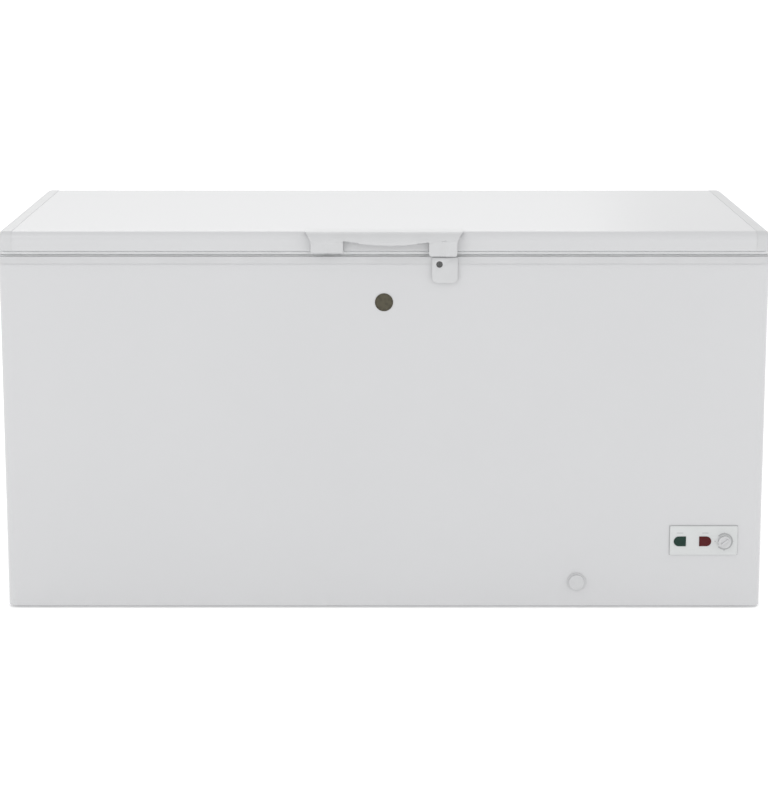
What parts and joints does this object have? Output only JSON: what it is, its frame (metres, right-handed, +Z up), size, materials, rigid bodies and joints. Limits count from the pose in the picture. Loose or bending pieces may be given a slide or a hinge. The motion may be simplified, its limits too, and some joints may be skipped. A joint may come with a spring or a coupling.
{
  "type": "chest freezer",
  "caption": "Wide white chest freezer with a counterbalanced lift-up lid, a moulded pull handle with a key lock, hanging baskets, a front control panel and a front drain.",
  "frame": {"origin": "on the floor, in the middle of the freezer's width and of its depth from handle to hinges", "axes": "+X to the right seen from the front, +Y to the back, +Z up; the front faces -Y"},
  "size_m": [1.664, 0.778, 0.84],
  "materials": {
    "white_steel": "gloss",
    "back_steel": "satin",
    "pan_steel": "satin",
    "liner": "satin",
    "foam": "matte",
    "rim_plastic": "gloss",
    "cap_plastic": "gloss",
    "tube_aluminium": "satin",
    "tube_copper": "satin",
    "compressor_black": "satin",
    "black_rubber": "matte",
    "black_plastic": "matte",
    "bright_steel": "satin",
    "zinc_steel": "satin",
    "panel_plastic": "satin",
    "green_lens": "gloss",
    "red_lens": "gloss",
    "circuit_board": "matte",
    "grey_plastic": "matte",
    "badge_face": "satin",
    "seal_rubber": "matte",
    "coated_wire": "gloss",
    "lamp_clear": "gloss"
  },
  "bodies": {
    "cabinet": {"outer_wrap": "white_steel", "back_panel": "back_steel", "base_pan": "pan_steel", "inner_liner": "liner", "foam_insulation": "foam", "top_frame": "rim_plastic", "evaporator_coil": "tube_aluminium", "condenser_coil": "bright_steel", "compressor_tray": "pan_steel", "compressor_grommets": "black_rubber", "compressor_bolts": "bright_steel", "compressor_lower": "compressor_black", "compressor_upper": "compressor_black", "terminal_cover": "black_plastic", "filter_dryer": "tube_copper", "refrigerant_pipes": "tube_copper", "side_grille": "cap_plastic", "rear_cover": "back_steel", "cord_gland": "black_rubber", "cabinet_screws": "bright_steel", "control_panel": "panel_plastic", "power_lens": "green_lens", "alarm_lens": "red_lens", "indicator_board": "circuit_board", "thermostat": "grey_plastic", "badge": "badge_face", "drain_tube": "grey_plastic", "drain_bezel": "cap_plastic", "lock_housing": "cap_plastic", "hinge_bases": "white_steel", "hinge_pins": "bright_steel", "hinge_spring_left": "bright_steel", "hinge_spring_right": "bright_steel"},
    "lid": {"lid_skin": "white_steel", "lid_end_cap_left": "cap_plastic", "lid_end_cap_right": "cap_plastic", "lid_foam": "foam", "lid_liner": "rim_plastic", "lid_gasket": "seal_rubber", "lamp_housing": "cap_plastic", "lamp_lens": "lamp_clear", "lid_handle": "cap_plastic", "latch_keeper": "bright_steel", "hinge_leaf_left": "white_steel", "hinge_leaf_right": "white_steel", "hinge_leaf_screws": "bright_steel"},
    "left spring plunger": {"spring_plunger_left": "zinc_steel"},
    "right spring plunger": {"spring_plunger_right": "zinc_steel"},
    "lock": {"lock_cylinder": "zinc_steel", "lock_cam": "zinc_steel"},
    "thermostat knob": {"thermostat_knob": "cap_plastic"},
    "drain spout": {"drain_spout": "cap_plastic"},
    "drain cap": {"drain_cap": "cap_plastic"},
    "drain plug": {"drain_plug": "black_rubber"},
    "left basket": {"basket_left": "coated_wire"},
    "right basket": {"basket_right": "coated_wire"},
    "front left foot": {"foot_front_left": "black_plastic"},
    "front right foot": {"foot_front_right": "black_plastic"},
    "back left foot": {"foot_back_left": "black_plastic"},
    "back right foot": {"foot_back_right": "black_plastic"}
  },
  "joints": [
    {"name": "lid_hinge", "type": "hinge", "parent": "cabinet", "child": "lid", "pos_m": [0, 0.375, 0.79], "axis": [-1, 0, 0], "range_deg": [0, 80], "stiffness_Nm_per_rad": 20, "springref_deg": 126.05},
    {"name": "left_plunger_slide", "type": "slide", "parent": "cabinet", "child": "left spring plunger", "axis": [0, 0, 1], "range_m": [0, 0.0112], "deforming": ["hinge_spring_left"]},
    {"name": "right_plunger_slide", "type": "slide", "parent": "cabinet", "child": "right spring plunger", "axis": [0, 0, 1], "range_m": [0, 0.0112], "deforming": ["hinge_spring_right"]},
    {"name": "lock_turn", "type": "hinge", "parent": "cabinet", "child": "lock", "pos_m": [0.1189, -0.359, 0.7689], "axis": [0, -1, 0], "range_deg": [0, 90]},
    {"name": "knob_turn", "type": "hinge", "parent": "cabinet", "child": "thermostat knob", "pos_m": [0.7464, -0.359, 0.1531], "axis": [0, 1, 0], "range_deg": [0, 270]},
    {"name": "spout_slide", "type": "slide", "parent": "cabinet", "child": "drain spout", "axis": [0, -1, 0], "range_m": [0, 0.02]},
    {"name": "cap_turn", "type": "hinge", "parent": "drain spout", "child": "drain cap", "pos_m": [0.4237, -0.359, 0.06], "axis": [0, -1, 0], "range_deg": [0, 180]},
    {"name": "plug_lift", "type": "slide", "parent": "cabinet", "child": "drain plug", "axis": [0, 0, 1], "range_m": [0, 0.035]},
    {"name": "left_basket_slide", "type": "slide", "parent": "cabinet", "child": "left basket", "axis": [1, 0, 0], "range_m": [0, 0.35]},
    {"name": "right_basket_slide", "type": "slide", "parent": "cabinet", "child": "right basket", "axis": [-1, 0, 0], "range_m": [0, 0.35]},
    {"name": "front_left_foot_screw", "type": "hinge", "parent": "cabinet", "child": "front left foot", "pos_m": [-0.754, -0.299, 0], "axis": [0, 0, 1], "continuous": true},
    {"name": "front_right_foot_screw", "type": "hinge", "parent": "cabinet", "child": "front right foot", "pos_m": [0.754, -0.299, 0], "axis": [0, 0, 1], "continuous": true},
    {"name": "back_left_foot_screw", "type": "hinge", "parent": "cabinet", "child": "back left foot", "pos_m": [-0.754, 0.291, 0], "axis": [0, 0, 1], "continuous": true},
    {"name": "back_right_foot_screw", "type": "hinge", "parent": "cabinet", "child": "back right foot", "pos_m": [0.754, 0.291, 0], "axis": [0, 0, 1], "continuous": true}
  ],
  "couplings": [
    {"joint": "left_plunger_slide", "follows": "lid_hinge", "m_per_rad": 0.008},
    {"joint": "right_plunger_slide", "follows": "lid_hinge", "m_per_rad": 0.008}
  ]
}
